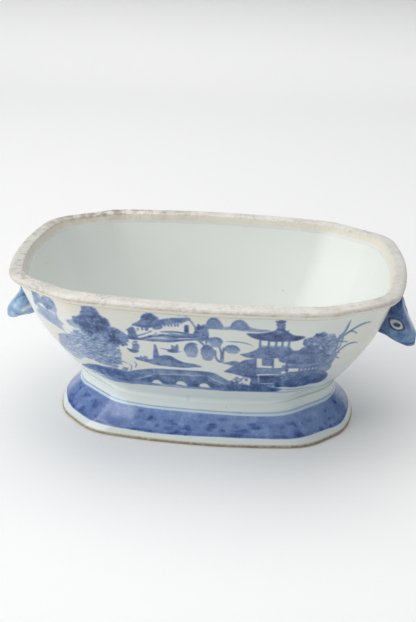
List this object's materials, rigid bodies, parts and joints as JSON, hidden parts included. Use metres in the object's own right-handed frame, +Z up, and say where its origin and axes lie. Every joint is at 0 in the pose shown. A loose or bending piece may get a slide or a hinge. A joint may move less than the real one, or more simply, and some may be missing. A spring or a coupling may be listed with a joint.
{
  "type": "soup tureen",
  "caption": "Blue and white porcelain tureen base: elongated bowl with canted corners, lipped unglazed rim, spreading foot and boar's-head handles.",
  "frame": {"origin": "on the table, under the middle of the foot", "axes": "+Z up through the open top; +X along the length, towards the right-hand head; -Y is the front"},
  "size_m": [0.3156, 0.212, 0.124],
  "materials": {
    "painted_glaze": "glossy clear glaze over blue brushwork on a grey-white body",
    "white_glaze": "glossy clear glaze, faintly grey-green",
    "banded_glaze": "glossy clear glaze over a mottled blue band, with a bare standing edge",
    "blue_glaze": "glossy clear glaze over washed cobalt blue",
    "biscuit": "matt bare porcelain, speckled and worn, orange-brown along its outer edge"
  },
  "bodies": {
    "root": {"front_wall": "painted_glaze", "back_wall": "painted_glaze", "left_end_wall": "painted_glaze", "right_end_wall": "painted_glaze", "front_left_corner_wall": "painted_glaze", "front_right_corner_wall": "painted_glaze", "back_left_corner_wall": "painted_glaze", "back_right_corner_wall": "painted_glaze", "bowl_floor": "white_glaze", "rim_band": "biscuit", "foot_ring": "banded_glaze", "left_boar_head": "blue_glaze", "right_boar_head": "blue_glaze", "left_head_ears": "blue_glaze", "right_head_ears": "blue_glaze"}
  },
  "joints": []
}
